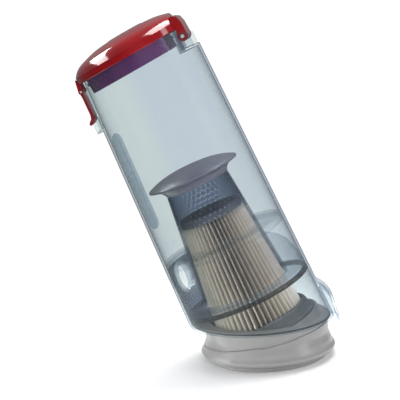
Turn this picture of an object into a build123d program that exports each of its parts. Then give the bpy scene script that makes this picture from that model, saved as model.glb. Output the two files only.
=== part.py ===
from build123d import *
import os
from math import sin, cos, tan, radians, pi

os.makedirs("parts", exist_ok=True)

# ---------------------------------------------------------------- dimensions
# All lengths in mm. The row stands on its foot, +Z up. The container leans
# to -X; u runs across it to the right, v is +Y, w runs up its own axis.
lean_deg = 20.6            # lean of the container's axis
lid_lean_deg = 4.7         # further lean of the lid plane
rim_z = 33.1               # height of the container's level bottom rim
axis_x, axis_z = -5.5, 34.0  # origin of the leaning frame, on the container's axis

bin_r0 = 59.4              # outer radius at w = 0
bin_slope = 0.0275         # taper towards the lid
bin_wall = 2.0
lid_w = 253.5              # lid plane on the axis
rim_bead = 0.7             # bead round the mouth
rim_bead_h = 4.4

mouth_u = 36.5             # flat wall on the hinge side of the mouth
mouth_t = 2.0
ledge_w = 239.5            # floor of the hinge recess
pin_u, pin_w = 44.0, 250.0
pin_r = 1.5
knuckle_r = 4.4
run_gap = 0.05             # radial running fit of the pins

lid_r = 55.3
lid_cut = 40.5             # flat end of the lid
lid_t = 2.0
lid_gap = 0.35             # lid above the rim
plug_r = 48.0
plug_cut = 30.0
plug_depth = 12.0

latch_u, latch_w = -55.6, 243.6
latch_pin_r = 1.0
latch_half = 7.0

pleats = 48
pleat_depth = 9.5
media_bot_r, media_top_r = 39.5, 28.5
media_top_w = 99.6

hat_r = 41.2
hat_w = 140.0
shroud_top_r, shroud_top_w, shroud_slope = 28.5, 131.0, 0.11
shroud_t = 1.5
hole_r = 1.05
hole_rows, holes_per_row = 11, 40
disc_w = 77.0

port_az = 157.0
port_w = 57.0
port_r = 14.5
port_bore_r = 12.6

seat_w = -10.0             # floor of the filter seat in the base
seat_r = 48.6
foot_r = 51.0
lip_r = 58.6
neck_r = 53.5
outlet_r, outlet_len = 20.0, 15.0

# ---------------------------------------------------------------- frames
t = radians(lean_deg)
P0 = Vector(axis_x, 0, axis_z)
U = Vector(cos(t), 0, sin(t))
V = Vector(0, 1, 0)
W = Vector(-sin(t), 0, cos(t))
BIN = Plane(origin=P0, x_dir=U, z_dir=W)
SECT = Plane(origin=P0, x_dir=U, z_dir=-V)
AX = Axis(P0, W)
RIM = Plane.XY.offset(rim_z)

a = radians(lid_lean_deg)
LU = U * cos(a) + W * sin(a)
LN = W * cos(a) - U * sin(a)
PL = P0 + W * lid_w
LID = Plane(origin=PL, x_dir=LU, z_dir=LN)
LSECT = Plane(origin=PL, x_dir=LU, z_dir=-V)
LAX = Axis(PL, LN)


def to_lid(u, w):
    return (u * cos(a) + (w - lid_w) * sin(a), -u * sin(a) + (w - lid_w) * cos(a))


def r_out(w):
    return bin_r0 - bin_slope * w


def r_in(w):
    return r_out(w) - bin_wall


def shroud_r(w):
    return shroud_top_r + shroud_slope * (shroud_top_w - w)


pin_p, pin_h = to_lid(pin_u, pin_w)
latch_p, latch_h = to_lid(latch_u, latch_w)

er = U * cos(radians(port_az)) + V * sin(radians(port_az))
et = V * cos(radians(port_az)) - U * sin(radians(port_az))
PORT = Plane(origin=P0 + W * port_w, x_dir=et, z_dir=er)

# ================================================================ FILTER UNIT
# ---------------------------------------------------------------- base_shell
# plug: the cone that fills the container's lower mouth, cut level
with BuildPart() as plug_blank:
    with BuildSketch(SECT):
        with BuildLine():
            Polyline((0, -45), (r_in(-45) - 0.9, -45), (r_in(50) - 0.9, 50), (0, 50), close=True)
        make_face()
    revolve(axis=AX)
    split(bisect_by=Plane.XY.offset(rim_z + 0.2), keep=Keep.TOP)
    split(bisect_by=Plane.XY.offset(rim_z + 2.7), keep=Keep.BOTTOM)

# boss: the leaning drum that carries the filter seat
with BuildPart() as boss_blank:
    with BuildSketch(BIN.offset(-45)):
        Circle(seat_r + 1.9)
    extrude(amount=45 + seat_w + 1.8)
    split(bisect_by=Plane.XY.offset(20), keep=Keep.TOP)

# seat: leaning space above the seat, kept inside the upright neck
with BuildPart() as seat_blank:
    with BuildSketch(BIN.offset(seat_w)):
        Circle(seat_r)
    extrude(amount=75)
    with BuildSketch(Plane.XY.offset(-5)):
        Circle(neck_r - 2.6)
    extrude(amount=120, mode=Mode.INTERSECT)

# hollow under the seat floor
with BuildPart() as hollow_blank:
    with BuildSketch(Plane.XZ):
        with BuildLine():
            Polyline((0, -2), (foot_r - 3.4, -2), (foot_r - 3.4, 2.0), (neck_r - 2.6, 9.0), (neck_r - 2.6, rim_z - 2.2), (0, rim_z - 2.2), close=True)
        make_face()
    revolve(axis=Axis.Z)
    split(bisect_by=BIN.offset(seat_w - 2.2), keep=Keep.BOTTOM)

# hollow inside the raised side of the boss
with BuildPart() as boss_hollow_blank:
    with BuildSketch(BIN.offset(-50)):
        Circle(seat_r - 0.6)
    extrude(amount=50 + seat_w - 2.2)
    split(bisect_by=Plane.XY.offset(rim_z - 8.0), keep=Keep.TOP)

# outlet spigot under the seat floor
with BuildPart() as spigot_blank:
    with BuildSketch(Plane.XY):
        Circle(outlet_r + 2.6)
    extrude(amount=60)
    split(bisect_by=BIN.offset(seat_w - 1.0), keep=Keep.BOTTOM)

g = radians(9.0)
GRV = Plane(origin=(0, 0, 22.6), x_dir=(cos(g), 0, sin(g)), z_dir=(-sin(g), 0, cos(g)))

# groove of the bayonet ramp, kept outside the neck's wall
with BuildPart() as ramp_blank:
    with BuildSketch(Plane.XZ.offset(40)):
        with Locations((10.0, 24.0)):
            SlotOverall(32, 1.5, rotation=10.0)
    extrude(amount=30)
    with BuildSketch(Plane.XY.offset(5)):
        Circle(neck_r - 0.9)
    extrude(amount=40, mode=Mode.SUBTRACT)

with BuildPart() as base_shell:
    # foot, undercut lip, skirt and neck
    with BuildSketch(Plane.XZ):
        with BuildLine():
            q1 = Polyline((0, 0), (foot_r - 0.8, 0), (foot_r, 0.8), (foot_r + 0.8, 2.6))
            q2 = Spline((foot_r + 0.8, 2.6), (lip_r - 2.4, 5.4), (lip_r, 7.9), tangents=((0.5, 1), (0.35, 1)))
            q3 = Polyline((lip_r, 7.9), (lip_r, 9.2), (lip_r - 0.9, 10.4))
            q4 = Spline((lip_r - 0.9, 10.4), (neck_r + 2.2, 15.0), (neck_r, 22.0), tangents=((-1, 0.8), (-0.08, 1)))
            q5 = Polyline((neck_r, 22.0), (neck_r, rim_z + 1.0), (0, rim_z + 1.0), (0, 0))
        make_face()
    revolve(axis=Axis.Z)
    # leaning step line round the neck
    with BuildSketch(GRV):
        Circle(80)
        Ellipse((neck_r - 0.9) / cos(g), neck_r - 0.9, mode=Mode.SUBTRACT)
    extrude(amount=1.3, mode=Mode.SUBTRACT)
    add(plug_blank.part)
    add(boss_blank.part)
    add(seat_blank.part, mode=Mode.SUBTRACT)
    add(hollow_blank.part, mode=Mode.SUBTRACT)
    add(boss_hollow_blank.part, mode=Mode.SUBTRACT)
    add(spigot_blank.part)
    with BuildSketch(Plane.XY.offset(-2)):
        Circle(outlet_r)
    extrude(amount=62, mode=Mode.SUBTRACT)
    with BuildSketch(Plane.XY.offset(outlet_len)):
        Circle(outlet_r + 0.8)
    extrude(amount=45, mode=Mode.SUBTRACT)
    # slanted groove of the bayonet ramp at the front
    add(ramp_blank.part, mode=Mode.SUBTRACT)

# groove band of the plug seal, shared by the seal itself
with BuildPart() as plug_seal:
    with BuildSketch(SECT):
        with BuildLine():
            Polyline((r_in(-45) - 2.0, -45), (r_in(-45) - 0.35, -45), (r_in(50) - 0.35, 50),
                     (r_in(50) - 2.0, 50), close=True)
        make_face()
    revolve(axis=AX)
    split(bisect_by=Plane.XY.offset(rim_z + 0.8), keep=Keep.TOP)
    split(bisect_by=Plane.XY.offset(rim_z + 2.0), keep=Keep.BOTTOM)

with BuildPart() as base_done:
    add(base_shell.part)
    add(plug_seal.part, mode=Mode.SUBTRACT)

base_done.part.label = "base_shell"
plug_seal.part.label = "plug_seal"

# ---------------------------------------------------------------- filter
with BuildPart() as filter_gasket:
    with BuildSketch(BIN.offset(seat_w)):
        Circle(seat_r - 0.6)
        Circle(44.4, mode=Mode.SUBTRACT)
    extrude(amount=1.2)
filter_gasket.part.label = "filter_gasket"

with BuildPart() as filter_end_ring:
    with BuildSketch(SECT):
        with BuildLine():
            Polyline((27.0, -1.8), (27.0, 0.0), (40.6, 0.0), (40.6, 2.0), (42.6, 2.0), (43.6, 1.0), (45.4, -5.6),
                     (seat_r - 0.5, -6.6), (seat_r - 0.5, -8.8), (44.0, -8.8), (43.4, -6.8), (42.0, -1.8), close=True)
        make_face()
    revolve(axis=AX)
filter_end_ring.part.label = "filter_end_ring"


def star(r_tip, r_root):
    pts = []
    for i in range(2 * pleats):
        r = r_tip if i % 2 == 0 else r_root
        ang = pi * i / pleats
        pts.append((r * cos(ang), r * sin(ang)))
    return pts


fold_t = 1.7
with BuildPart() as filter_media:
    with BuildSketch(BIN):
        with BuildLine():
            Polyline(*star(media_bot_r, media_bot_r - pleat_depth), close=True)
        make_face()
    with BuildSketch(BIN.offset(media_top_w)):
        with BuildLine():
            Polyline(*star(media_top_r, media_top_r - pleat_depth), close=True)
        make_face()
    loft(ruled=True)
    with BuildSketch(BIN):
        with BuildLine():
            Polyline(*star(media_bot_r - fold_t, media_bot_r - pleat_depth - fold_t), close=True)
        make_face()
    with BuildSketch(BIN.offset(media_top_w)):
        with BuildLine():
            Polyline(*star(media_top_r - fold_t, media_top_r - pleat_depth - fold_t), close=True)
        make_face()
    loft(ruled=True, mode=Mode.SUBTRACT)
filter_media.part.label = "filter_media"

core_bot_r = media_bot_r - pleat_depth - fold_t - 0.1
core_top_r = media_top_r - pleat_depth - fold_t - 0.1
with BuildPart() as filter_core:
    with BuildSketch(SECT):
        with BuildLine():
            Polyline((core_bot_r - 1.6, 0.0), (core_bot_r, 0.0), (core_top_r, media_top_w),
                     (core_top_r - 1.6, media_top_w), close=True)
        make_face()
    revolve(axis=AX)
    for k in range(5):
        d = U * cos(radians(36 * k + 18)) + V * sin(radians(36 * k + 18))
        for z0, z1 in ((8, 34), (38, 64), (68, 92)):
            win = Plane(origin=P0 + W * ((z0 + z1) / 2), x_dir=W, z_dir=d)
            with BuildSketch(win):
                Rectangle(z1 - z0, 7.0)
            extrude(amount=40, both=True, mode=Mode.SUBTRACT)
filter_core.part.label = "filter_core"

with BuildPart() as filter_top_cap:
    with BuildSketch(SECT):
        with BuildLine():
            Polyline((0, media_top_w), (28.4, media_top_w), (28.4, 104.6), (27.4, 106.2), (21.5, 106.8),
                     (12.2, 107.6), (9.3, 107.2), (9.3, 103.0), (0, 103.0), close=True)
        make_face()
    revolve(axis=AX)
filter_top_cap.part.label = "filter_top_cap"

# ================================================================ CONTAINER
with BuildPart() as bead_blank:
    with BuildSketch(SECT):
        with BuildLine():
            Polyline((r_in(220), 220), (r_out(220) + rim_bead, 220), (r_out(290) + rim_bead, 290),
                     (r_in(290), 290), close=True)
        make_face()
    revolve(axis=AX)
    split(bisect_by=LID.offset(-rim_bead_h), keep=Keep.TOP)

with BuildPart() as lug_blank:
    with BuildSketch(SECT):
        with BuildLine():
            Polyline((55.0, 13.0), (59.4, 9.6), (62.6, 5.0), (64.9, 0.0), (65.9, -6.0), (65.6, -12.0), (64.4, -19.0),
                     (63.6, -28.6), (59.5, -25.2), (54.0, -21.8), close=True)
        make_face()
    extrude(amount=13, both=True)
    with BuildSketch(SECT):
        with BuildLine():
            Polyline((50.0, 6.6), (58.0, 6.6), (60.9, 3.6), (62.9, -0.6), (63.9, -6.0), (63.6, -12.0), (62.4, -19.0),
                     (61.7, -36.0), (50.0, -36.0), close=True)
        make_face()
    extrude(amount=11, both=True, mode=Mode.SUBTRACT)
    # keep what stands outside the container's own wall
    with BuildSketch(SECT):
        with BuildLine():
            Polyline((0, -50), (r_out(-50) - 0.8, -50), (r_out(30) - 0.8, 30), (0, 30), close=True)
        make_face()
    revolve(axis=AX, mode=Mode.SUBTRACT)

with BuildPart() as bin_shell:
    with BuildSketch(SECT):
        with BuildLine():
            Polyline((r_in(-45), -45), (r_out(-45), -45), (r_out(290), 290), (r_in(290), 290), close=True)
        make_face()
    revolve(axis=AX)
    add(bead_blank.part)
    # hinge recess: the outer wall stops at a ledge, the mouth ends in a flat wall
    with BuildSketch(BIN.offset(ledge_w)):
        with Locations((mouth_u + mouth_t + 40, 0)):
            Rectangle(80, 160)
    extrude(amount=80, mode=Mode.SUBTRACT)
    with BuildSketch(BIN.offset(ledge_w - mouth_t)):
        Circle(r_out(ledge_w) - 0.3)
        with Locations((mouth_u + 40, 0)):
            Rectangle(80, 160, mode=Mode.INTERSECT)
    extrude(amount=mouth_t)
    with BuildSketch(BIN.offset(ledge_w - mouth_t)):
        Circle(r_out(262) - 0.1)
        with Locations((mouth_u + mouth_t / 2, 0)):
            Rectangle(mouth_t, 160, mode=Mode.INTERSECT)
    extrude(amount=50)
    # hinge ears on the ledge
    for v0 in (23.0, -27.0):
        with BuildSketch(SECT.offset(-v0 - 4.0)):
            with Locations((pin_u, pin_w)):
                Circle(4.4)
            with Locations((pin_u + 0.6, (ledge_w - 0.5 + pin_w) / 2)):
                Rectangle(10.0, pin_w - ledge_w + 0.5)
        extrude(amount=4.0)
    with BuildSketch(SECT.offset(40)):
        with Locations((pin_u, pin_w)):
            Circle(pin_r)
    extrude(amount=-80, mode=Mode.SUBTRACT)
    # latch keeper: two cheeks joined at the foot, with a low catch between them
    with BuildSketch(BIN.offset(205.0)):
        with Locations((-55.2, 9.0), (-55.2, -9.0)):
            Rectangle(5.6, 1.8)
    extrude(amount=13.0)
    with BuildSketch(BIN.offset(205.0)):
        with Locations((-55.2, 0)):
            Rectangle(5.6, 19.8)
    extrude(amount=1.6)
    with BuildSketch(SECT):
        with BuildLine():
            Polyline((-52.6, 222.0), (-54.3, 219.6), (-54.3, 217.4), (-52.6, 217.2), close=True)
        make_face()
    extrude(amount=5.5, both=True)
    # inlet port
    with BuildSketch(PORT.offset(40)):
        Circle(port_r)
    extrude(amount=40, mode=Mode.SUBTRACT)
    split(bisect_by=RIM, keep=Keep.TOP)
    split(bisect_by=LID, keep=Keep.BOTTOM)
    add(lug_blank.part)
bin_shell.part.label = "bin_shell"

# ---------------------------------------------------------------- guide_rail
rail_w0, rail_w1 = 106.0, 198.0
rm = (rail_w0 + rail_w1) / 2
RAIL = Plane(origin=P0 + W * rm + er * r_out(rm), x_dir=W - er * bin_slope, z_dir=er + W * bin_slope)
with BuildPart() as guide_rail:
    with BuildSketch(RAIL.offset(-3)):
        SlotOverall(rail_w1 - rail_w0, 14.0)
    extrude(amount=3 + 1.5)
    with BuildSketch(RAIL.offset(0.9)):
        SlotOverall(rail_w1 - rail_w0 - 8, 6.0)
    extrude(amount=3, mode=Mode.SUBTRACT)
    with BuildSketch(SECT):
        with BuildLine():
            Polyline((0, 60), (r_out(60) + 0.02, 60), (r_out(240) + 0.02, 240), (0, 240), close=True)
        make_face()
    revolve(axis=AX, mode=Mode.SUBTRACT)
guide_rail.part.label = "guide_rail"

# ---------------------------------------------------------------- shroud
with BuildPart() as shroud_cap:
    with BuildSketch(SECT):
        with BuildLine():
            l1 = Spline((0, 147.6), (14, 147.2), (28, 145.2), (hat_r - 1.2, hat_w + 1.1), tangents=((1, 0), (0.9, -0.42)))
            l2 = Polyline((hat_r - 1.2, hat_w + 1.1), (hat_r, hat_w + 0.3), (hat_r, hat_w - 0.9), (hat_r - 1.4, hat_w - 1.5))
            l3 = Spline((hat_r - 1.4, hat_w - 1.5), (34.5, 137.2), (30.4, 134.0), (28.6, shroud_top_w),
                        tangents=((-0.95, -0.3), (-0.35, -0.94)))
            l4 = Polyline((28.6, shroud_top_w), (26.0, shroud_top_w), (26.0, 136.0), (30.5, 140.6), (24, 143.4), (0, 145.2), (0, 147.6))
        make_face()
    revolve(axis=AX)
shroud_cap.part.label = "shroud_cap"

floor_w = 28.0
floor_t = 2.0
with BuildPart() as shroud:
    with BuildSketch(SECT):
        with BuildLine():
            Polyline((shroud_r(floor_w + floor_t) - shroud_t, floor_w + floor_t), (shroud_r(floor_w + floor_t), floor_w + floor_t),
                     (shroud_r(shroud_top_w), shroud_top_w), (shroud_r(shroud_top_w) - shroud_t, shroud_top_w), close=True)
        make_face()
    revolve(axis=AX)
    w0, w1 = 84.0, 127.0
    for i in range(hole_rows):
        wr = w0 + (w1 - w0) * i / (hole_rows - 1)
        with Locations(*[Plane(origin=P0 + W * wr, x_dir=W,
                               z_dir=U * cos(2 * pi * (j + 0.5 * (i % 2)) / holes_per_row)
                               + V * sin(2 * pi * (j + 0.5 * (i % 2)) / holes_per_row)).offset(25.0)
                         for j in range(holes_per_row)]):
            Cylinder(hole_r, 12.0, align=(Align.CENTER, Align.CENTER, Align.MIN), mode=Mode.SUBTRACT)
shroud.part.label = "shroud"

with BuildPart() as separator_plate:
    with BuildSketch(SECT):
        with BuildLine():
            ri = shroud_r(disc_w) + 0.05
            ro = r_in(disc_w) - 0.35
            Polyline((ri, disc_w), (ri, disc_w + 3.0), (ri + 1.8, disc_w + 3.0), (ri + 2.6, disc_w + 1.8), (ro, disc_w + 1.8),
                     (ro, disc_w - 4.2), (ro - 1.5, disc_w - 4.2), (ro - 1.5, disc_w), close=True)
        make_face()
    revolve(axis=AX)
separator_plate.part.label = "separator_plate"

with BuildPart() as wall_blank:
    wl0, wl1 = floor_w, 72.4
    with BuildSketch(SECT):
        with BuildLine():
            Polyline((r_in(wl0) - 2.2, wl0), (r_in(wl0) - 0.3, wl0), (r_in(wl1) - 0.3, wl1), (r_in(wl1) - 2.2, wl1), close=True)
        make_face()
    revolve(axis=AX)
    with BuildSketch(SECT):
        with BuildLine():
            Polyline((-70, 0), (-70, 79), (-40, 75.0), (5, 68.0), (22, 63.5), (33, 59.5), (43, 55), (49, 49.5), (53, 42),
                     (55.2, 34), (58, 30), (58, 0), close=True)
        make_face()
    extrude(amount=90, both=True, mode=Mode.INTERSECT)
    split(bisect_by=Plane(origin=P0 - V * 8.0, x_dir=U, z_dir=V), keep=Keep.TOP)

with BuildPart() as inlet_housing:
    with BuildSketch(BIN.offset(floor_w)):
        Circle(r_in(floor_w) - 1.2)
        Circle(37.8, mode=Mode.SUBTRACT)
    extrude(amount=floor_t)
    add(wall_blank.part)
    with BuildSketch(PORT.offset(30)):
        Circle(port_r)
    extrude(amount=50, mode=Mode.SUBTRACT)
inlet_housing.part.label = "inlet_housing"

with BuildPart() as inlet_ring:
    with BuildSketch(PORT.offset(50.5)):
        Circle(port_r - 0.02)
        Circle(port_bore_r, mode=Mode.SUBTRACT)
    extrude(amount=r_out(port_w) - 50.5 + 0.2)
    with BuildSketch(PORT.offset(49.2)):
        Circle(port_r + 1.6)
        Circle(port_bore_r, mode=Mode.SUBTRACT)
    extrude(amount=1.4)
inlet_ring.part.label = "inlet_ring"

with BuildPart() as housing_seal:
    with BuildSketch(SECT):
        with BuildLine():
            Polyline((53.0, floor_w - 0.1), (53.0, 24.6), (55.2, 24.0), (57.0 - 0.6, 24.4), (r_in(26) - 0.15, 25.6),
                     (r_in(26) - 0.15, floor_w - 0.1), close=True)
        make_face()
    revolve(axis=AX)
housing_seal.part.label = "housing_seal"

with BuildPart() as hinge_pin:
    with BuildSketch(SECT.offset(-27.4)):
        with Locations((pin_u, pin_w)):
            Circle(pin_r)
    extrude(amount=54.8)
hinge_pin.part.label = "hinge_pin"

# ================================================================ LID
with BuildPart() as lid_inner:
    with BuildSketch(LSECT):
        with BuildLine():
            m1 = Polyline((0, -6), (lid_r - lid_t, -6), (lid_r - lid_t, 5.6))
            m2 = Spline((lid_r - lid_t, 5.6), (lid_r - 4.1, 7.7), (46.8, 11.0), (38.2, 13.9), (28.4, 16.4), (15.6, 17.8), (0, 18.0),
                        tangents=((-0.56, 0.83), (-1, 0)))
            m3 = Line((0, 18.0), (0, -6))
        make_face()
    revolve(axis=LAX)
    split(bisect_by=Plane(origin=PL + LU * (lid_cut - lid_t), x_dir=V, z_dir=LU), keep=Keep.BOTTOM)

with BuildPart() as lid_cover:
    with BuildSketch(LSECT):
        with BuildLine():
            n1 = Polyline((0, lid_gap), (lid_r - 0.5, lid_gap), (lid_r, lid_gap + 0.5), (lid_r, 6.3))
            n2 = Spline((lid_r, 6.3), (lid_r - 2.3, 9.3), (48.0, 13.1), (39.0, 16.2), (29.0, 18.6), (16.0, 19.9), (0, 20.1),
                        tangents=((-0.56, 0.83), (-1, 0)))
            n3 = Line((0, 20.1), (0, lid_gap))
        make_face()
    revolve(axis=LAX)
    split(bisect_by=Plane(origin=PL + LU * lid_cut, x_dir=V, z_dir=LU), keep=Keep.BOTTOM)
    add(lid_inner.part, mode=Mode.SUBTRACT)
    # hinge block and knuckle
    with BuildSketch(LSECT):
        with BuildLine():
            Polyline((lid_cut - 0.5, lid_gap + 0.6), (lid_cut - 0.5, 11.6), (42.6, 12.0), (46.6, 9.6), (48.0, 4.0),
                     (pin_p + knuckle_r - 0.05, pin_h + 0.6), (pin_p, pin_h), (pin_p - knuckle_r + 0.1, pin_h + 0.6), (41.0, lid_gap + 0.6), close=True)
        make_face()
    extrude(amount=22.4, both=True)
    with BuildSketch(LSECT):
        with Locations((pin_p, pin_h)):
            Circle(knuckle_r)
    extrude(amount=22.4, both=True)
    with BuildSketch(LSECT):
        with Locations((pin_p, pin_h)):
            Circle(pin_r + run_gap)
    extrude(amount=40, both=True, mode=Mode.SUBTRACT)
    # two cheeks that carry the latch
    with BuildSketch(LSECT.offset(-9.4)):
        with Locations((latch_p, latch_h)):
            Circle(2.3)
        with BuildLine():
            Polyline((latch_p - 2.3, latch_h), (latch_p + 2.3, latch_h), (-(lid_r - 1.2), 1.0), (-(lid_r - 1.2), 4.5), (-lid_r - 0.6, 5.5), close=True)
        make_face()
    extrude(amount=2.0)
    with BuildSketch(LSECT.offset(7.4)):
        with Locations((latch_p, latch_h)):
            Circle(2.3)
        with BuildLine():
            Polyline((latch_p - 2.3, latch_h), (latch_p + 2.3, latch_h), (-(lid_r - 1.2), 1.0), (-(lid_r - 1.2), 4.5), (-lid_r - 0.6, 5.5), close=True)
        make_face()
    extrude(amount=2.0)
    with BuildSketch(LSECT.offset(-12)):
        with Locations((latch_p, latch_h)):
            Circle(latch_pin_r)
    extrude(amount=24, mode=Mode.SUBTRACT)
lid_cover.part.label = "lid_cover"

with BuildPart() as lid_plug:
    with BuildSketch(LID.offset(-plug_depth)):
        Circle(plug_r)
        with Locations((plug_cut - 60, 0)):
            Rectangle(120, 140, mode=Mode.INTERSECT)
    extrude(amount=plug_depth + 6.0)
    with BuildSketch(LID.offset(0.9)):
        Circle(lid_r - lid_t - 0.1)
        with Locations((lid_cut - lid_t - 0.1 - 60, 0)):
            Rectangle(120, 140, mode=Mode.INTERSECT)
    extrude(amount=1.8)
    with BuildSketch(LID.offset(-plug_depth + 2.0)):
        Circle(plug_r - 2.0)
        with Locations((plug_cut - 2.0 - 60, 0)):
            Rectangle(120, 140, mode=Mode.INTERSECT)
    extrude(amount=plug_depth + 10, mode=Mode.SUBTRACT)
lid_plug.part.label = "lid_plug"

with BuildPart() as lid_seal:
    with BuildSketch(LID.offset(-4.6)):
        Circle(plug_r + 1.2)
        with Locations((plug_cut + 1.0 - 60, 0)):
            Rectangle(120, 140, mode=Mode.INTERSECT)
        with BuildSketch(mode=Mode.PRIVATE) as hole_sk:
            Circle(plug_r + 0.02)
            with Locations((plug_cut + 0.02 - 60, 0)):
                Rectangle(120, 140, mode=Mode.INTERSECT)
        add(hole_sk.sketch, mode=Mode.SUBTRACT)
    extrude(amount=2.4)
lid_seal.part.label = "lid_seal"

with BuildPart() as latch_pin:
    with BuildSketch(LSECT.offset(-9.6)):
        with Locations((latch_p, latch_h)):
            Circle(latch_pin_r)
    extrude(amount=19.2)
latch_pin.part.label = "latch_pin"

# ---------------------------------------------------------------- latch
with BuildPart() as latch_lever:
    with BuildSketch(SECT):
        with Locations((latch_u, latch_w)):
            Circle(2.1)
        with BuildLine():
            Polyline((latch_u + 0.7, latch_w), (-54.9, 238.0), (-54.9, 218.6), (-55.7, 216.2), (-58.6, 214.2), (-60.6, 213.9), (-61.6, 215.2),
                     (-60.4, 217.0), (-58.2, 219.0), (-57.3, 222.4), (-57.2, 238.0), (latch_u - 2.1, latch_w), close=True)
        make_face()
    extrude(amount=latch_half, both=True)
    with BuildSketch(SECT):
        with Locations((latch_u, latch_w)):
            Circle(latch_pin_r + run_gap)
    extrude(amount=20, both=True, mode=Mode.SUBTRACT)
latch_lever.part.label = "latch_lever"

# ---------------------------------------------------------------- files
base_shell = base_done
for piece in (base_shell, plug_seal, filter_gasket, filter_end_ring, filter_media, filter_core, filter_top_cap,
              bin_shell, guide_rail, shroud_cap, shroud, separator_plate, inlet_housing, inlet_ring, housing_seal,
              hinge_pin, lid_cover, lid_plug, lid_seal, latch_pin, latch_lever):
    export_step(piece.part, "parts/" + piece.part.label + ".step")
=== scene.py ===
import bpy, bmesh, random
from math import sin, cos, pi, radians, sqrt
from mathutils import Vector, Matrix


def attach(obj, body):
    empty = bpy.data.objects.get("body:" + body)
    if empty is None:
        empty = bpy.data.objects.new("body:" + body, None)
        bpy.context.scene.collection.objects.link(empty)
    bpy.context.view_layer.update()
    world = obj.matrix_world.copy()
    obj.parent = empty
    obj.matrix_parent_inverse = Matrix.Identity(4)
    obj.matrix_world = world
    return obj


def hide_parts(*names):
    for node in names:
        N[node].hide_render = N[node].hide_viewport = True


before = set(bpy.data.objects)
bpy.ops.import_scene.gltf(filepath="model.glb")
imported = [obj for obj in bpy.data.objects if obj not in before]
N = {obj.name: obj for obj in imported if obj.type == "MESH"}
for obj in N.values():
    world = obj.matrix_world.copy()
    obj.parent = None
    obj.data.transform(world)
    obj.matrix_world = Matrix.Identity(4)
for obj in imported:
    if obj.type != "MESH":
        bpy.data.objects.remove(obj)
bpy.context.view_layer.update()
scene = bpy.context.scene
scene.view_settings.view_transform = "Standard"
scene.cycles.transparent_max_bounces = 40
scene.cycles.max_bounces = 12

# ------------------------------------------------------------------ the leaning frame, in metres
LEAN = radians(20.6)
P0 = Vector((-0.0055, 0.0, 0.0340))
U = Vector((cos(LEAN), 0, sin(LEAN)))
V = Vector((0, 1, 0))
W = Vector((-sin(LEAN), 0, cos(LEAN)))


def loc(u, v, w):
    """A point in the container's own frame, given in mm."""
    return P0 + U * (u * 0.001) + V * (v * 0.001) + W * (w * 0.001)


# ------------------------------------------------------------------ camera
YAW, PITCH, ROLL = radians(-4.0), radians(9.654), radians(4.406)
FOCAL = 1226.2             # in pixels of a 400 pixel wide picture
cam_data = bpy.data.cameras.new("cam")
cam = bpy.data.objects.new("cam", cam_data)
scene.collection.objects.link(cam)
scene.camera = cam
fwd = Vector((sin(YAW) * cos(PITCH), cos(YAW) * cos(PITCH), -sin(PITCH)))
r0 = fwd.cross(Vector((0, 0, 1))).normalized()
u0 = r0.cross(fwd)
right = r0 * cos(ROLL) - u0 * sin(ROLL)
upv = r0 * sin(ROLL) + u0 * cos(ROLL)
cam.matrix_world = Matrix((
    (right.x, upv.x, -fwd.x, 0.02283),
    (right.y, upv.y, -fwd.y, -1.04168),
    (right.z, upv.z, -fwd.z, 0.31921),
    (0, 0, 0, 1)))
cam_data.sensor_width = 36.0
cam_data.lens = FOCAL / 400.0 * 36.0
cam_data.clip_start = 0.01
cam_data.clip_end = 50.0


# ------------------------------------------------------------------ material helpers
def new_mat(name):
    m = bpy.data.materials.new(name)
    m.use_nodes = True
    nt = m.node_tree
    nt.nodes.clear()
    out = nt.nodes.new("ShaderNodeOutputMaterial")
    return m, nt, out


def noise(nt, scale, detail=4.0, rough=0.55, stretch=(1, 1, 1)):
    tc = nt.nodes.new("ShaderNodeTexCoord")
    mp = nt.nodes.new("ShaderNodeMapping")
    mp.inputs["Scale"].default_value = stretch
    n = nt.nodes.new("ShaderNodeTexNoise")
    n.inputs["Scale"].default_value = scale
    n.inputs["Detail"].default_value = detail
    n.inputs["Roughness"].default_value = rough
    nt.links.new(tc.outputs["Object"], mp.inputs["Vector"])
    nt.links.new(mp.outputs["Vector"], n.inputs["Vector"])
    return n.outputs["Fac"]


def bands(nt, scale, stretch):
    """Noise drawn out along the container's own axis."""
    tc = nt.nodes.new("ShaderNodeTexCoord")
    mp = nt.nodes.new("ShaderNodeMapping")
    mp.vector_type = "TEXTURE"
    mp.inputs["Rotation"].default_value = (0, -LEAN, 0)
    mp.inputs["Scale"].default_value = (1, 1, stretch)
    n = nt.nodes.new("ShaderNodeTexNoise")
    n.inputs["Scale"].default_value = scale
    n.inputs["Detail"].default_value = 2.0
    nt.links.new(tc.outputs["Object"], mp.inputs["Vector"])
    nt.links.new(mp.outputs["Vector"], n.inputs["Vector"])
    return n.outputs["Fac"]


def ramp(nt, src, stops):
    r = nt.nodes.new("ShaderNodeValToRGB")
    el = r.color_ramp.elements
    while len(el) < len(stops):
        el.new(0.5)
    for e, (pos, col) in zip(el, stops):
        e.position = pos
        e.color = (col, col, col, 1) if isinstance(col, (int, float)) else (*col, 1)
    nt.links.new(src, r.inputs["Fac"])
    return r.outputs["Color"]


def math(nt, op, a, b):
    m = nt.nodes.new("ShaderNodeMath")
    m.operation = op
    for i, x in enumerate((a, b)):
        if isinstance(x, (int, float)):
            m.inputs[i].default_value = x
        else:
            nt.links.new(x, m.inputs[i])
    return m.outputs["Value"]


def bump(nt, height, strength, dist):
    b = nt.nodes.new("ShaderNodeBump")
    b.inputs["Strength"].default_value = strength
    b.inputs["Distance"].default_value = dist
    nt.links.new(height, b.inputs["Height"])
    return b.outputs["Normal"]


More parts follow.
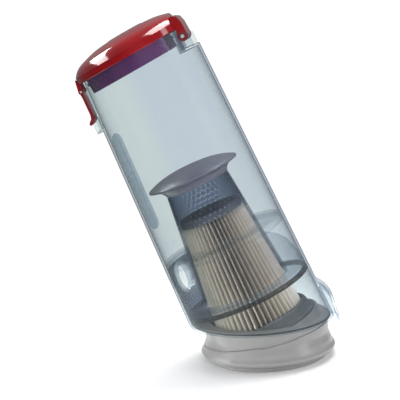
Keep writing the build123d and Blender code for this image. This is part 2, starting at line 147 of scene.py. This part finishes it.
def solid(name, col_a, col_b, rough=(0.3, 0.4), scale=80.0, bump_s=0.08, bump_scale=900.0, bump_d=0.0003,
          coat=0.0, coat_rough=0.05, spec=0.5, sheen=0.0):
    """A moulded or paper surface: two close colours, uneven roughness and a fine bump."""
    m, nt, out = new_mat(name)
    p = nt.nodes.new("ShaderNodeBsdfPrincipled")
    f = noise(nt, scale)
    nt.links.new(ramp(nt, f, [(0.3, col_a), (0.7, col_b)]), p.inputs["Base Color"])
    nt.links.new(ramp(nt, noise(nt, scale * 2.3), [(0.3, rough[0]), (0.75, rough[1])]), p.inputs["Roughness"])
    nt.links.new(bump(nt, noise(nt, bump_scale, 3.0), bump_s, bump_d), p.inputs["Normal"])
    p.inputs["Coat Weight"].default_value = coat
    p.inputs["Coat Roughness"].default_value = coat_rough
    p.inputs["Specular IOR Level"].default_value = spec
    nt.links.new(p.outputs["BSDF"], out.inputs["Surface"])
    return m


def clear(name, face, edge, body, haze=0.03, haze_var=0.02, edge_gain=0.55, power=3.0, tint_power=2.0, rough=(0.05, 0.12),
          scale=45.0, through=0.85, upper=None, streak=None, axis=W):
    """Clear or smoky plastic: a tinted see-through wall, darker where it turns away, with a gloss that grows there."""
    m, nt, out = new_mat(name)
    lw = nt.nodes.new("ShaderNodeLayerWeight")
    lw.inputs["Blend"].default_value = 0.5
    f = lw.outputs["Facing"]
    tintf = math(nt, "POWER", f, tint_power)
    tint = ramp(nt, tintf, [(0.0, face), (1.0, edge)])
    if streak:
        # the wall's tint drifts a little round the container
        dr = ramp(nt, bands(nt, 26.0, 14.0), [(0.38, streak[0]), (0.50, face), (0.62, streak[1])])
        far = ramp(nt, tintf, [(0.0, (1, 1, 1)), (1.0, tuple(e / c for e, c in zip(edge, face)))])
        ms = nt.nodes.new("ShaderNodeMix")
        ms.data_type = "RGBA"
        ms.blend_type = "MULTIPLY"
        ms.inputs["Factor"].default_value = 1.0
        nt.links.new(dr, ms.inputs[6])
        nt.links.new(far, ms.inputs[7])
        tint = ms.outputs[2]
    if upper:
        # a second tint beyond a given distance along an axis of the container
        w_mm, blend_mm, face2, edge2 = upper
        tc = nt.nodes.new("ShaderNodeTexCoord")
        dot = nt.nodes.new("ShaderNodeVectorMath")
        dot.operation = "DOT_PRODUCT"
        nt.links.new(tc.outputs["Object"], dot.inputs[0])
        dot.inputs[1].default_value = axis
        h0 = P0.dot(axis) + w_mm * 0.001
        up = ramp(nt, dot.outputs["Value"], [(h0 - blend_mm * 0.001, 0.0), (h0, 1.0)])
        tint2 = ramp(nt, tintf, [(0.0, face2), (1.0, edge2)])
        mc = nt.nodes.new("ShaderNodeMix")
        mc.data_type = "RGBA"
        nt.links.new(up, mc.inputs["Factor"])
        nt.links.new(tint, mc.inputs[6])
        nt.links.new(tint2, mc.inputs[7])
        tint = mc.outputs[2]
    tr = nt.nodes.new("ShaderNodeBsdfTransparent")
    nt.links.new(tint, tr.inputs["Color"])
    p = nt.nodes.new("ShaderNodeBsdfPrincipled")
    sm = noise(nt, scale, 5.0)
    nt.links.new(ramp(nt, sm, [(0.25, tuple(0.8 * c for c in body)), (0.75, body)]), p.inputs["Base Color"])
    nt.links.new(ramp(nt, noise(nt, scale * 1.7), [(0.3, rough[0]), (0.7, rough[1])]), p.inputs["Roughness"])
    nt.links.new(bump(nt, noise(nt, 140.0, 2.0), 0.05, 0.0004), p.inputs["Normal"])
    grow = math(nt, "MULTIPLY", math(nt, "POWER", f, power), edge_gain)
    smudge = math(nt, "MULTIPLY_ADD", sm, haze_var)
    nt.nodes[-1].inputs[2].default_value = haze - haze_var * 0.5
    fac = math(nt, "ADD", grow, smudge)
    mix = nt.nodes.new("ShaderNodeMixShader")
    nt.links.new(fac, mix.inputs["Fac"])
    nt.links.new(tr.outputs["BSDF"], mix.inputs[1])
    nt.links.new(p.outputs["BSDF"], mix.inputs[2])
    lp = nt.nodes.new("ShaderNodeLightPath")
    open_tr = nt.nodes.new("ShaderNodeBsdfTransparent")
    mix2 = nt.nodes.new("ShaderNodeMixShader")
    nt.links.new(math(nt, "MULTIPLY", lp.outputs["Is Shadow Ray"], through), mix2.inputs["Fac"])
    nt.links.new(mix.outputs["Shader"], mix2.inputs[1])
    nt.links.new(open_tr.outputs["BSDF"], mix2.inputs[2])
    nt.links.new(mix2.outputs["Shader"], out.inputs["Surface"])
    return m


def paint(node, mat):
    o = N[node]
    me = o.data
    if len(me.materials) == 0:
        me.materials.append(mat)
    for s in o.material_slots:
        s.material = mat


# ------------------------------------------------------------------ materials
m_bin = clear("bin_clear", (0.855, 0.884, 0.893), (0.16, 0.20, 0.27), (0.55, 0.63, 0.68), haze=0.025, edge_gain=0.18, power=3.0, tint_power=5.0,
              streak=((0.862, 0.897, 0.882), (0.838, 0.868, 0.892)))
m_lid = solid("lid_red", (0.20, 0.0008, 0.003), (0.26, 0.0012, 0.005), rough=(0.10, 0.16), bump_s=0.02, bump_scale=200.0,
              coat=0.5, coat_rough=0.02, spec=0.25)
# the red plug and lid seal are coloured dark purple: painted shade for the plug's underside and a painted bluish
# reflection over the red plastic
m_plug_painted_shade = solid("plug_red_painted_shade", (0.075, 0.008, 0.105), (0.14, 0.008, 0.115), rough=(0.25, 0.35), scale=60.0, bump_s=0.03, coat=0.2)
m_latch = solid("latch_red", (0.17, 0.001, 0.006), (0.23, 0.0015, 0.009), rough=(0.2, 0.3), bump_s=0.03, coat=0.5)
m_hat = solid("hat_grey", (0.135, 0.130, 0.170), (0.185, 0.180, 0.220), rough=(0.28, 0.4), bump_s=0.04, coat=0.2)
m_shroud = clear("shroud_smoke", (0.93, 0.92, 0.91), (0.62, 0.63, 0.66), (0.16, 0.18, 0.22), haze=0.03, haze_var=0.02, edge_gain=0.20,
                 power=2.5, rough=(0.15, 0.25), through=0.97, upper=(105.0, 9.0, (0.62, 0.655, 0.72), (0.26, 0.29, 0.36)))
m_disc = clear("disc_smoke", (0.955, 0.965, 0.97), (0.74, 0.77, 0.79), (0.55, 0.57, 0.57), haze=0.022, haze_var=0.015, edge_gain=0.14,
               rough=(0.12, 0.22), through=0.95)
m_house = clear("housing_smoke", (0.92, 0.94, 0.955), (0.66, 0.70, 0.75), (0.32, 0.35, 0.39), haze=0.07, haze_var=0.04, edge_gain=0.25,
                rough=(0.15, 0.3), through=0.95, upper=(42.0, 16.0, (0.47, 0.50, 0.56), (0.22, 0.25, 0.31)), axis=-U)
m_ring = clear("inlet_ring", (0.85, 0.88, 0.90), (0.62, 0.66, 0.70), (0.60, 0.65, 0.68), haze=0.25, haze_var=0.05, edge_gain=0.3)
m_rail = clear("rail_tint", (0.83, 0.87, 0.90), (0.55, 0.61, 0.67), (0.26, 0.32, 0.38), haze=0.10, haze_var=0.05, edge_gain=0.3)
m_seal = clear("seal_black", (0.62, 0.60, 0.57), (0.20, 0.20, 0.21), (0.008, 0.008, 0.011), haze=0.36, haze_var=0.06, edge_gain=0.6,
               power=1.6, rough=(0.35, 0.5), through=0.8)
m_rubber = solid("rubber", (0.018, 0.018, 0.020), (0.032, 0.032, 0.034), rough=(0.5, 0.65), bump_s=0.15)
def paper(name):
    """Pleated filter paper, fibrous, with painted shade: brown down in the folds, lightest cream at the fold tips."""
    m, nt, out = new_mat(name)
    p = nt.nodes.new("ShaderNodeBsdfPrincipled")
    at = nt.nodes.new("ShaderNodeAttribute")
    at.attribute_name = "fold"
    # painted shade: by fold depth the paper goes brown down in the folds and stays lightest at the fold tips
    fold_painted_shade = ramp(nt, at.outputs["Fac"], [(0.0, (0.22, 0.155, 0.105)), (0.55, (0.52, 0.42, 0.33)), (0.86, (0.82, 0.73, 0.63)), (1.0, (0.96, 0.92, 0.86))])
    tone = ramp(nt, noise(nt, 60.0, 4.0), [(0.3, (0.84, 0.82, 0.79)), (0.7, (1.0, 1.0, 1.0))])
    mul = nt.nodes.new("ShaderNodeMix")
    mul.data_type = "RGBA"
    mul.blend_type = "MULTIPLY"
    mul.inputs["Factor"].default_value = 1.0
    nt.links.new(fold_painted_shade, mul.inputs[6])
    nt.links.new(tone, mul.inputs[7])
    nt.links.new(mul.outputs[2], p.inputs["Base Color"])
    nt.links.new(ramp(nt, noise(nt, 130.0), [(0.3, 0.8), (0.75, 0.95)]), p.inputs["Roughness"])
    nt.links.new(bump(nt, noise(nt, 1500.0, 3.0), 0.35, 0.0003), p.inputs["Normal"])
    p.inputs["Specular IOR Level"].default_value = 0.2
    nt.links.new(p.outputs["BSDF"], out.inputs["Surface"])
    return m


m_paper = paper("filter_paper")
m_cap = solid("filter_dark", (0.17, 0.172, 0.192), (0.24, 0.243, 0.266), rough=(0.4, 0.55), bump_s=0.15)
m_end = solid("end_ring", (0.055, 0.058, 0.062), (0.085, 0.088, 0.092), rough=(0.35, 0.5), bump_s=0.1)
m_core = solid("core_white", (0.55, 0.55, 0.52), (0.66, 0.66, 0.63), rough=(0.45, 0.6))
m_base = solid("base_grey", (0.186, 0.186, 0.186), (0.214, 0.214, 0.213), rough=(0.32, 0.45), scale=60.0, bump_s=0.05, bump_scale=1200.0, coat=0.15,
               coat_rough=0.25)
m_steel = solid("pin_steel", (0.35, 0.35, 0.36), (0.50, 0.50, 0.51), rough=(0.25, 0.4))

for n, m in {
        "bin_shell": m_bin, "lid_cover": m_lid, "lid_plug": m_plug_painted_shade, "latch_lever": m_latch, "shroud_cap": m_hat,
        "shroud": m_shroud, "separator_plate": m_disc, "inlet_housing": m_house, "inlet_ring": m_ring, "guide_rail": m_rail,
        "housing_seal": m_seal, "plug_seal": m_rubber, "filter_gasket": m_rubber, "lid_seal": m_plug_painted_shade, "filter_media": m_paper,
        "filter_top_cap": m_cap, "filter_end_ring": m_end, "filter_core": m_core, "base_shell": m_base, "hinge_pin": m_steel,
        "latch_pin": m_steel}.items():
    paint(n, m)


# ------------------------------------------------------------------ pleated filter cone
def mesh_object(name, verts, faces, mat, smooth=True):
    me = bpy.data.meshes.new(name)
    me.from_pydata(verts, [], faces)
    me.materials.append(mat)
    me.update()
    if smooth:
        for p in me.polygons:
            p.use_smooth = True
    o = bpy.data.objects.new(name, me)
    scene.collection.objects.link(o)
    return o


rng = random.Random(11)
PLEATS = 48
DEPTH = 9.2
rows = 15
shift = [rng.uniform(-0.17, 0.17) for _ in range(PLEATS)]
drift = [rng.uniform(-0.10, 0.10) for _ in range(PLEATS)]
tall = [rng.uniform(-0.45, 0.10) for _ in range(PLEATS)]
verts, faces, fold = [], [], []
prof = []
for i in range(PLEATS):
    for t_, rr in ((-0.46, 0.0), (-0.36, 0.10), (-0.16, 0.55), (-0.055, 0.93), (0.0, 1.0), (0.055, 0.93), (0.16, 0.55), (0.36, 0.10)):
        prof.append((i, t_, rr))
nprof = len(prof)
for j in range(rows):
    k = j / (rows - 1)
    w = 0.35 + (99.3 - 0.35) * k
    r_tip = 39.3 + (28.3 - 39.3) * k
    for i, t_, rr in prof:
        wob = shift[i] * (0.4 + 0.6 * sin(pi * k)) + drift[i] * sin(2 * pi * k + i)
        ang = 2 * pi * (i + 0.5 + t_ + wob * rr * 0.8) / PLEATS
        r = r_tip - DEPTH * (1 - rr) + tall[i] * rr * sin(pi * k)
        verts.append(loc(r * cos(ang), r * sin(ang), w))
        fold.append(rr)
for j in range(rows - 1):
    for i in range(nprof):
        a, b = j * nprof + i, j * nprof + (i + 1) % nprof
        faces.append((a, b, b + nprof, a + nprof))
media = mesh_object("pleated_media", verts, faces, m_paper, smooth=False)
# fold depth per vertex, 1 at the tips and 0 down in the folds, which drives the paper's painted shade
att = media.data.attributes.new("fold", "FLOAT", "POINT")
att.data.foreach_set("value", fold)
so = media.modifiers.new("sheet", "SOLIDIFY")
so.thickness = 0.0005
so.offset = -1.0
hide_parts("filter_media")
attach(media, "filter_unit")

# ------------------------------------------------------------------ stage
bm = bmesh.new()
bmesh.ops.create_grid(bm, x_segments=2, y_segments=2, size=0.6)
fm = bpy.data.meshes.new("floor")
bm.to_mesh(fm)
bm.free()
floor = bpy.data.objects.new("floor", fm)
scene.collection.objects.link(floor)
floor.location = (0, 0, -0.0002)
fmat, fnt, fout = new_mat("floor")
fp = fnt.nodes.new("ShaderNodeBsdfPrincipled")
fp.inputs["Base Color"].default_value = (0.90, 0.90, 0.90, 1)
fp.inputs["Roughness"].default_value = 0.9
fp.inputs["Specular IOR Level"].default_value = 0.0
ft = fnt.nodes.new("ShaderNodeBsdfTransparent")
fc = fnt.nodes.new("ShaderNodeTexCoord")
fl = fnt.nodes.new("ShaderNodeVectorMath")
fl.operation = "LENGTH"
fnt.links.new(fc.outputs["Object"], fl.inputs[0])
fr = ramp(fnt, fl.outputs["Value"], [(0.14, 0.0), (0.34, 1.0)])
fx = fnt.nodes.new("ShaderNodeMixShader")
fnt.links.new(fr, fx.inputs["Fac"])
fnt.links.new(fp.outputs["BSDF"], fx.inputs[1])
fnt.links.new(ft.outputs["BSDF"], fx.inputs[2])
fnt.links.new(fx.outputs["Shader"], fout.inputs["Surface"])
fm.materials.append(fmat)

world = bpy.data.worlds.new("world")
scene.world = world
world.use_nodes = True
wnt = world.node_tree
wnt.nodes.clear()
wout = wnt.nodes.new("ShaderNodeOutputWorld")
bg_cam = wnt.nodes.new("ShaderNodeBackground")
bg_cam.inputs["Color"].default_value = (1, 1, 1, 1)
bg_cam.inputs["Strength"].default_value = 1.05
bg_amb = wnt.nodes.new("ShaderNodeBackground")
tcw = wnt.nodes.new("ShaderNodeTexCoord")
sep = wnt.nodes.new("ShaderNodeSeparateXYZ")
wnt.links.new(tcw.outputs["Generated"], sep.inputs["Vector"])
cr = wnt.nodes.new("ShaderNodeValToRGB")
cr.color_ramp.elements[0].position = 0.35
cr.color_ramp.elements[0].color = (0.42, 0.43, 0.45, 1)
cr.color_ramp.elements[1].position = 0.85
cr.color_ramp.elements[1].color = (0.95, 0.96, 0.98, 1)
mw = wnt.nodes.new("ShaderNodeMath")
mw.operation = "MULTIPLY_ADD"
mw.inputs[1].default_value = 0.5
mw.inputs[2].default_value = 0.5
wnt.links.new(sep.outputs["Z"], mw.inputs[0])
wnt.links.new(mw.outputs["Value"], cr.inputs["Fac"])
wnt.links.new(cr.outputs["Color"], bg_amb.inputs["Color"])
bg_amb.inputs["Strength"].default_value = 0.62
bg_gl = wnt.nodes.new("ShaderNodeBackground")
wnt.links.new(cr.outputs["Color"], bg_gl.inputs["Color"])
bg_gl.inputs["Strength"].default_value = 0.38
lpw = wnt.nodes.new("ShaderNodeLightPath")
mixg = wnt.nodes.new("ShaderNodeMixShader")
wnt.links.new(lpw.outputs["Is Glossy Ray"], mixg.inputs["Fac"])
wnt.links.new(bg_amb.outputs["Background"], mixg.inputs[1])
wnt.links.new(bg_gl.outputs["Background"], mixg.inputs[2])
mixw = wnt.nodes.new("ShaderNodeMixShader")
wnt.links.new(lpw.outputs["Is Camera Ray"], mixw.inputs["Fac"])
wnt.links.new(mixg.outputs["Shader"], mixw.inputs[1])
wnt.links.new(bg_cam.outputs["Background"], mixw.inputs[2])
wnt.links.new(mixw.outputs["Shader"], wout.inputs["Surface"])


def softbox(name, pos, aim, size, size_y, watts, glossy=True, diffuse=True, spread=180.0):
    d = bpy.data.lights.new(name, "AREA")
    d.shape = "RECTANGLE"
    d.size, d.size_y = size, size_y
    d.energy = watts
    d.spread = radians(spread)
    o = bpy.data.objects.new(name, d)
    scene.collection.objects.link(o)
    o.location = pos
    o.rotation_euler = (Vector(aim) - Vector(pos)).to_track_quat("-Z", "Y").to_euler()
    o.visible_camera = False
    o.visible_glossy = glossy
    o.visible_diffuse = diffuse
    return o


softbox("over", (-0.02, 0.42, 1.25), (-0.03, 0, 0.1), 1.1, 0.8, 20.0, glossy=False)
softbox("front", (0.35, -1.45, 0.36), (-0.03, 0, 0.12), 1.1, 0.5, 16.0, glossy=False)
softbox("panel_left", (-0.97, 0.25, 0.83), (-0.11, -0.04, 0.275), 1.3, 0.28, 14.0, diffuse=False)
softbox("panel_top", (0.0, 0.2, 1.3), (-0.07, -0.04, 0.29), 0.34, 0.8, 11.0, diffuse=False)
softbox("low_left", (-1.0, -0.08, 0.05), (0.0, 0, 0.012), 0.3, 0.06, 0.16, glossy=False, spread=10.0)
softbox("side", (1.10, -0.50, 0.45), (-0.04, 0, 0.14), 0.25, 0.9, 4.0)
